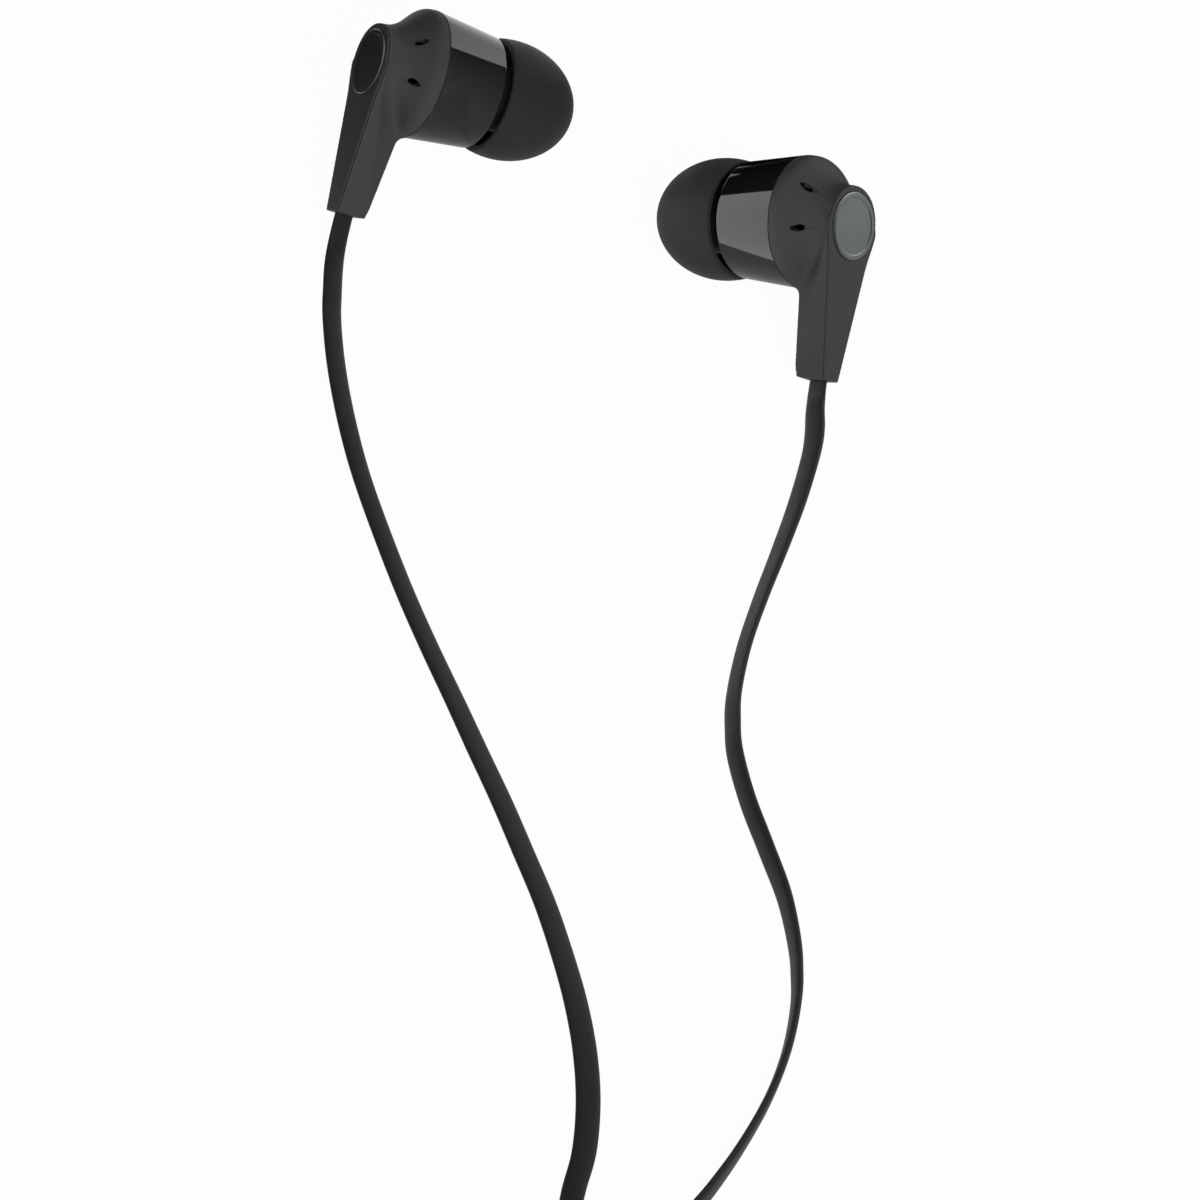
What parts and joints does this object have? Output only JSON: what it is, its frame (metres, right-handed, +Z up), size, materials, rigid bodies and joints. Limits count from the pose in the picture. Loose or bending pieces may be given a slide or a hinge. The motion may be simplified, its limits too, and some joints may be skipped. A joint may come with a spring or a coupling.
{
  "type": "wired earphones",
  "caption": "In-ear wired earphones: angled earbuds with silicone tips and long flat stems, flat cord with a splitter, and a straight 3.5 mm plug.",
  "frame": {"origin": "on the table, below the middle of the two earbuds' box, without the cord", "axes": "+Z up from the table, +X from the left earbud toward the right one along the longer side of their box, +Y away from the cord"},
  "size_m": [0.0602, 0.2774, 0.0184],
  "materials": {
    "matte_shell": "fine matte moulded plastic",
    "gloss_shell": "polished moulded plastic",
    "badge_metal": "satin metal",
    "silicone": "matte silicone",
    "cord_skin": "matte cord jacket",
    "moulded_rubber": "matte moulded rubber",
    "black_plastic": "matte plastic",
    "steel": "plain steel",
    "magnet": "nickel plated magnet",
    "copper": "enamelled copper wire",
    "film": "thin polymer film",
    "circuit": "solder mask",
    "gold": "gold plated brass",
    "foam": "open foam"
  },
  "bodies": {
    "earphones": {"left_rear_housing": "matte_shell", "left_back_cover": "matte_shell", "left_badge": "badge_metal", "left_cord_grip": "moulded_rubber", "left_front_barrel": "gloss_shell", "left_nozzle_mesh": "steel", "left_acoustic_damper": "foam", "left_driver_frame": "black_plastic", "left_magnet_pot": "steel", "left_driver_magnet": "magnet", "left_pole_plate": "steel", "left_terminal_board": "circuit", "right_rear_housing": "matte_shell", "right_back_cover": "matte_shell", "right_badge": "badge_metal", "right_cord_grip": "moulded_rubber", "right_front_barrel": "gloss_shell", "right_nozzle_mesh": "steel", "right_acoustic_damper": "foam", "right_driver_frame": "black_plastic", "right_magnet_pot": "steel", "right_driver_magnet": "magnet", "right_pole_plate": "steel", "right_terminal_board": "circuit", "left_cord": "cord_skin", "left_cord_coil": "cord_skin", "left_cord_tail": "cord_skin", "right_cord": "cord_skin", "right_cord_coil": "cord_skin", "right_cord_tail": "cord_skin", "y_splitter": "moulded_rubber", "cord_tie": "moulded_rubber", "main_cord": "cord_skin", "main_cord_coil": "cord_skin", "main_cord_end": "cord_skin", "plug_boot": "moulded_rubber", "plug_grip": "black_plastic", "plug_sleeve_contact": "gold", "plug_rear_insulator": "black_plastic", "plug_ring_contact": "gold", "plug_front_insulator": "black_plastic", "plug_tip_contact": "gold"},
    "left_ear_tip": {"left_ear_tip": "silicone"},
    "right_ear_tip": {"right_ear_tip": "silicone"},
    "left_diaphragm_set": {"left_voice_coil": "copper", "left_diaphragm": "film"},
    "right_diaphragm_set": {"right_voice_coil": "copper", "right_diaphragm": "film"}
  },
  "joints": [
    {"name": "left_ear_tip_pull", "type": "slide", "parent": "earphones", "child": "left_ear_tip", "axis": [0.8583, 0.1544, -0.4894], "range_m": [0, 0.008]},
    {"name": "right_ear_tip_pull", "type": "slide", "parent": "earphones", "child": "right_ear_tip", "axis": [-0.7931, 0.4672, -0.3907], "range_m": [0, 0.008]},
    {"name": "left_diaphragm_travel", "type": "slide", "parent": "earphones", "child": "left_diaphragm_set", "axis": [0.8583, 0.1544, -0.4894], "range_m": [-0.0002, 0.0002], "stiffness_N_per_m": 200},
    {"name": "right_diaphragm_travel", "type": "slide", "parent": "earphones", "child": "right_diaphragm_set", "axis": [-0.7931, 0.4672, -0.3907], "range_m": [-0.0002, 0.0002], "stiffness_N_per_m": 200}
  ]
}
